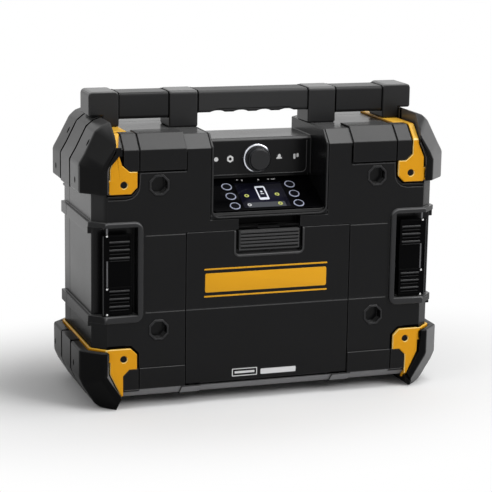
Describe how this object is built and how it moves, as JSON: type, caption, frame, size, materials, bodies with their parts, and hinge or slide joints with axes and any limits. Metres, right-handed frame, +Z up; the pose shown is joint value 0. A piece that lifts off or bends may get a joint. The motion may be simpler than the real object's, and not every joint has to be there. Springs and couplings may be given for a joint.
{
  "type": "jobsite radio",
  "caption": "Rugged box-shaped jobsite radio with a carry handle, a sunken console with a knob and display deck, a drop-down compartment door and corner bumpers.",
  "frame": {"origin": "on the floor under the middle of the radio", "axes": "+X right as the front is seen, +Y to the rear, +Z up"},
  "size_m": [0.436, 0.172, 0.352],
  "materials": {
    "case_plastic": "fine-grained dark charcoal moulding",
    "trim_plastic": "satin dark moulding",
    "bumper_rubber": "soft-touch black",
    "bracket_amber": "satin amber",
    "handle_plastic": "grained dark moulding",
    "grip_rubber": "soft-touch black",
    "deck_gloss": "glossy black",
    "window_glass": "clear dark window",
    "display_black": "dark display glass",
    "key_plastic": "satin key",
    "bright_ring": "bright plated",
    "knob_plastic": "fine-ribbed dark knob",
    "steel": "plain zinc-plated steel",
    "screw_steel": "black-coated steel",
    "liner_plastic": "plain inner moulding",
    "gasket_rubber": "soft seal",
    "board_green": "circuit board",
    "heatsink_aluminium": "extruded",
    "supply_plastic": "inner box",
    "inlet_plastic": "black connector",
    "grille_metal": "black powder coat",
    "speaker_black": "driver frame and cone"
  },
  "bodies": {
    "case": {"amplifier_heatsink": "heatsink_aluminium", "base_block_left": "case_plastic", "base_block_right": "case_plastic", "bracket_lower_left": "bracket_amber", "bracket_lower_right": "bracket_amber", "bracket_screws": "screw_steel", "bracket_upper_left": "bracket_amber", "bracket_upper_right": "bracket_amber", "bumper_lower_left": "bumper_rubber", "bumper_lower_right": "bumper_rubber", "bumper_upper_left": "bumper_rubber", "bumper_upper_right": "bumper_rubber", "case_screws": "steel", "charger_dock": "liner_plastic", "compartment_liner": "liner_plastic", "console_housing": "case_plastic", "control_body": "steel", "display_module": "display_black", "display_panel": "deck_gloss", "display_window": "window_glass", "door_hinge_pins": "steel", "front_housing": "case_plastic", "handle_end_post_left": "handle_plastic", "handle_end_post_right": "handle_plastic", "handle_grip": "grip_rubber", "handle_mid_post_left": "handle_plastic", "handle_mid_post_right": "handle_plastic", "handle_side_bar_left": "handle_plastic", "handle_side_bar_right": "handle_plastic", "handle_tube": "steel", "key_board": "board_green", "key_rings": "bright_ring", "knob_ring": "bright_ring", "main_board": "board_green", "power_inlet": "inlet_plastic", "power_supply": "supply_plastic", "rear_housing": "case_plastic", "shoulder_left": "case_plastic", "shoulder_right": "case_plastic", "side_latch_pins": "steel", "speaker_grille_left": "grille_metal", "speaker_grille_right": "grille_metal", "speaker_left": "speaker_black", "speaker_right": "speaker_black"},
    "door": {"door_panel": "case_plastic", "door_liner": "liner_plastic", "door_gasket": "gasket_rubber", "latch_spring": "steel"},
    "door_latch_body": {"door_latch": "trim_plastic"},
    "side_latch_right_body": {"side_latch_right": "trim_plastic"},
    "side_latch_left_body": {"side_latch_left": "trim_plastic"},
    "knob": {"knob_cap": "knob_plastic", "control_shaft": "steel"},
    "key_1": {"display_key_1": "key_plastic"},
    "key_2": {"display_key_2": "key_plastic"},
    "key_3": {"display_key_3": "key_plastic"},
    "key_4": {"display_key_4": "key_plastic"},
    "key_5": {"display_key_5": "key_plastic"},
    "key_6": {"display_key_6": "key_plastic"}
  },
  "joints": [
    {"name": "door_hinge", "type": "hinge", "parent": "case", "child": "door", "pos_m": [0, -0.075, 0.027], "axis": [1, 0, 0], "range_deg": [0, 90]},
    {"name": "door_latch_slide", "type": "slide", "parent": "door", "child": "door_latch_body", "axis": [0, 0, -1], "range_m": [0, 0.0045], "stiffness_N_per_m": 600, "springref_m": -0.004, "deforming": ["latch_spring"]},
    {"name": "side_latch_right_hinge", "type": "hinge", "parent": "case", "child": "side_latch_right_body", "pos_m": [0.189, -0.0775, 0.155], "axis": [0, 0, 1], "range_deg": [0, 80]},
    {"name": "side_latch_left_hinge", "type": "hinge", "parent": "case", "child": "side_latch_left_body", "pos_m": [-0.189, -0.0775, 0.155], "axis": [0, 0, -1], "range_deg": [0, 80]},
    {"name": "knob_turn", "type": "hinge", "parent": "case", "child": "knob", "pos_m": [0, -0.04, 0.2723], "axis": [0, 1, 0], "continuous": true},
    {"name": "display_key_1_press", "type": "slide", "parent": "case", "child": "key_1", "axis": [0, 0.4472, -0.8944], "range_m": [0, 0.0007], "stiffness_N_per_m": 200},
    {"name": "display_key_2_press", "type": "slide", "parent": "case", "child": "key_2", "axis": [0, 0.4472, -0.8944], "range_m": [0, 0.0007], "stiffness_N_per_m": 200},
    {"name": "display_key_3_press", "type": "slide", "parent": "case", "child": "key_3", "axis": [0, 0.4472, -0.8944], "range_m": [0, 0.0007], "stiffness_N_per_m": 200},
    {"name": "display_key_4_press", "type": "slide", "parent": "case", "child": "key_4", "axis": [0, 0.4472, -0.8944], "range_m": [0, 0.0007], "stiffness_N_per_m": 200},
    {"name": "display_key_5_press", "type": "slide", "parent": "case", "child": "key_5", "axis": [0, 0.4472, -0.8944], "range_m": [0, 0.0007], "stiffness_N_per_m": 200},
    {"name": "display_key_6_press", "type": "slide", "parent": "case", "child": "key_6", "axis": [0, 0.4472, -0.8944], "range_m": [0, 0.0007], "stiffness_N_per_m": 200}
  ]
}
